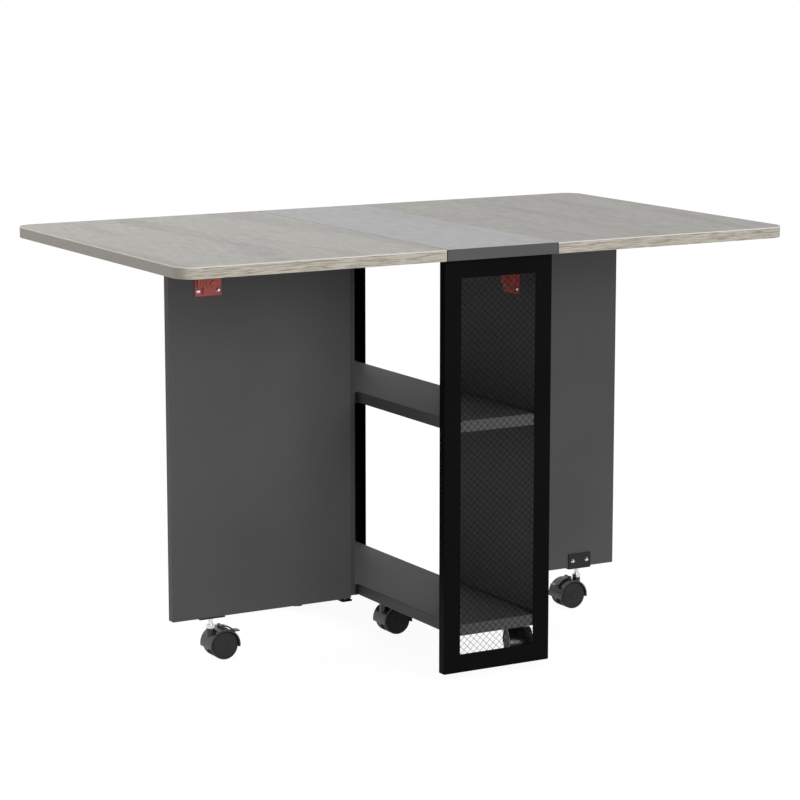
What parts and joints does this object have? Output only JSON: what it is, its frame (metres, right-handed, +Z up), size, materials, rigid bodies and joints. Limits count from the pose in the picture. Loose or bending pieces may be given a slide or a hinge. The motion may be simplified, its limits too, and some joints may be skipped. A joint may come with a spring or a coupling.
{
  "type": "drop-leaf dining table",
  "caption": "Folding dining table on casters: a narrow shelved column with mesh ends, hinged leaves, and swinging gates that hold the leaves up.",
  "frame": {"origin": "centre of the table on the floor", "axes": "+X along the table's length, -Y to the front, +Z up"},
  "size_m": [1.2, 0.704, 0.75],
  "materials": {
    "oak_laminate": "satin",
    "grey_board": "satin",
    "black_steel": "satin",
    "zinc": "polished",
    "black_plastic": "satin",
    "wheel_plastic": "matt",
    "red_plastic": "satin"
  },
  "bodies": {
    "column": {"centre_top": "grey_board", "front_frame": "black_steel", "rear_frame": "black_steel", "front_mesh": "black_steel", "rear_mesh": "black_steel", "middle_shelf": "grey_board", "bottom_shelf": "grey_board", "left_side_panel": "grey_board", "right_side_panel": "grey_board", "shelf_spacers": "black_plastic", "column_screws": "zinc", "pivot_brackets": "black_steel", "leaf_hinge_straps": "zinc", "leaf_hinge_pins": "zinc", "caster_inserts": "black_plastic", "column_caster_stems": "zinc", "left_panel_catch": "red_plastic", "right_panel_catch": "red_plastic"},
    "left_leaf": {"left_leaf": "oak_laminate", "left_hinge_flaps": "zinc", "left_leaf_screws": "zinc"},
    "left_gate": {"left_gate_panel": "grey_board", "left_pivot_pins": "zinc", "left_gate_glide": "black_plastic", "left_caster_plate": "black_steel", "left_gate_screws": "zinc", "left_gate_catch": "red_plastic", "left_caster_stem": "zinc"},
    "left_gate_button": {"left_gate_catch_button": "red_plastic"},
    "left_panel_button": {"left_panel_catch_button": "red_plastic"},
    "right_leaf": {"right_leaf": "oak_laminate", "right_hinge_flaps": "zinc", "right_leaf_screws": "zinc"},
    "right_gate": {"right_gate_panel": "grey_board", "right_pivot_pins": "zinc", "right_gate_glide": "black_plastic", "right_caster_plate": "black_steel", "right_gate_screws": "zinc", "right_gate_catch": "red_plastic", "right_caster_stem": "zinc"},
    "right_gate_button": {"right_gate_catch_button": "red_plastic"},
    "right_panel_button": {"right_panel_catch_button": "red_plastic"},
    "left_caster_hood": {"left_caster_hood": "black_plastic"},
    "left_caster_wheels": {"left_caster_wheels": "wheel_plastic"},
    "left_caster_brake": {"left_caster_brake": "black_plastic"},
    "right_caster_hood": {"right_caster_hood": "black_plastic"},
    "right_caster_wheels": {"right_caster_wheels": "wheel_plastic"},
    "right_caster_brake": {"right_caster_brake": "black_plastic"},
    "middle_caster_hood": {"middle_caster_hood": "black_plastic"},
    "middle_caster_wheels": {"middle_caster_wheels": "wheel_plastic"},
    "middle_caster_brake": {"middle_caster_brake": "black_plastic"},
    "front_caster_hood": {"front_caster_hood": "black_plastic"},
    "front_caster_wheels": {"front_caster_wheels": "wheel_plastic"},
    "front_caster_brake": {"front_caster_brake": "black_plastic"},
    "rear_caster_hood": {"rear_caster_hood": "black_plastic"},
    "rear_caster_wheels": {"rear_caster_wheels": "wheel_plastic"},
    "rear_caster_brake": {"rear_caster_brake": "black_plastic"}
  },
  "joints": [
    {"name": "left_gate_swing", "type": "hinge", "parent": "column", "child": "left_gate", "pos_m": [-0.1165, 0, 0.4], "axis": [0, 0, 1], "range_deg": [0, 90]},
    {"name": "left_leaf_lift", "type": "hinge", "parent": "column", "child": "left_leaf", "pos_m": [-0.134, 0, 0.7268], "axis": [0, 1, 0], "range_deg": [0, 1.5]},
    {"name": "left_gate_button_press", "type": "slide", "parent": "left_gate", "child": "left_gate_button", "axis": [0, 1, 0], "range_m": [0, 0.0025], "stiffness_N_per_m": 400, "springref_m": -0.002},
    {"name": "left_panel_button_press", "type": "slide", "parent": "column", "child": "left_panel_button", "axis": [-1, 0, 0], "range_m": [0, 0.0025], "stiffness_N_per_m": 400, "springref_m": -0.002},
    {"name": "right_gate_swing", "type": "hinge", "parent": "column", "child": "right_gate", "pos_m": [0.1165, 0, 0.4], "axis": [0, 0, 1], "range_deg": [0, 90]},
    {"name": "right_leaf_lift", "type": "hinge", "parent": "column", "child": "right_leaf", "pos_m": [0.134, 0, 0.7268], "axis": [0, -1, 0], "range_deg": [0, 1.5]},
    {"name": "right_gate_button_press", "type": "slide", "parent": "right_gate", "child": "right_gate_button", "axis": [0, -1, 0], "range_m": [0, 0.0025], "stiffness_N_per_m": 400, "springref_m": -0.002},
    {"name": "right_panel_button_press", "type": "slide", "parent": "column", "child": "right_panel_button", "axis": [1, 0, 0], "range_m": [0, 0.0025], "stiffness_N_per_m": 400, "springref_m": -0.002},
    {"name": "left_caster_swivel", "type": "hinge", "parent": "left_gate", "child": "left_caster_hood", "pos_m": [-0.387, 0, 0.055], "axis": [0, 0, 1], "continuous": true},
    {"name": "left_caster_roll", "type": "hinge", "parent": "left_caster_hood", "child": "left_caster_wheels", "pos_m": [-0.368, 0, 0.025], "axis": [0, 1, 0], "continuous": true},
    {"name": "left_brake_lift", "type": "hinge", "parent": "left_caster_hood", "child": "left_caster_brake", "pos_m": [-0.368, 0, 0.0576], "axis": [0, -1, 0], "range_deg": [0, 12]},
    {"name": "right_caster_swivel", "type": "hinge", "parent": "right_gate", "child": "right_caster_hood", "pos_m": [0.387, 0, 0.055], "axis": [0, 0, 1], "continuous": true},
    {"name": "right_caster_roll", "type": "hinge", "parent": "right_caster_hood", "child": "right_caster_wheels", "pos_m": [0.368, 0, 0.025], "axis": [0, -1, 0], "continuous": true},
    {"name": "right_brake_lift", "type": "hinge", "parent": "right_caster_hood", "child": "right_caster_brake", "pos_m": [0.368, 0, 0.0576], "axis": [0, 1, 0], "range_deg": [0, 12]},
    {"name": "middle_caster_swivel", "type": "hinge", "parent": "column", "child": "middle_caster_hood", "pos_m": [-0.035, 0, 0.055], "axis": [0, 0, 1], "continuous": true},
    {"name": "middle_caster_roll", "type": "hinge", "parent": "middle_caster_hood", "child": "middle_caster_wheels", "pos_m": [-0.016, 0, 0.025], "axis": [0, 1, 0], "continuous": true},
    {"name": "middle_brake_lift", "type": "hinge", "parent": "middle_caster_hood", "child": "middle_caster_brake", "pos_m": [-0.016, 0, 0.0576], "axis": [0, -1, 0], "range_deg": [0, 12]},
    {"name": "front_caster_swivel", "type": "hinge", "parent": "column", "child": "front_caster_hood", "pos_m": [0.0975, -0.244, 0.055], "axis": [0, 0, 1], "continuous": true},
    {"name": "front_caster_roll", "type": "hinge", "parent": "front_caster_hood", "child": "front_caster_wheels", "pos_m": [0.09131, -0.26196, 0.025], "axis": [0.9455, -0.3256, 0], "continuous": true},
    {"name": "front_brake_lift", "type": "hinge", "parent": "front_caster_hood", "child": "front_caster_brake", "pos_m": [0.09131, -0.26196, 0.0576], "axis": [-0.9455, 0.3256, 0], "range_deg": [0, 12]},
    {"name": "rear_caster_swivel", "type": "hinge", "parent": "column", "child": "rear_caster_hood", "pos_m": [-0.0975, 0.244, 0.055], "axis": [0, 0, 1], "continuous": true},
    {"name": "rear_caster_roll", "type": "hinge", "parent": "rear_caster_hood", "child": "rear_caster_wheels", "pos_m": [-0.09131, 0.26196, 0.025], "axis": [-0.9455, 0.3256, 0], "continuous": true},
    {"name": "rear_brake_lift", "type": "hinge", "parent": "rear_caster_hood", "child": "rear_caster_brake", "pos_m": [-0.09131, 0.26196, 0.0576], "axis": [0.9455, -0.3256, 0], "range_deg": [0, 12]}
  ]
}
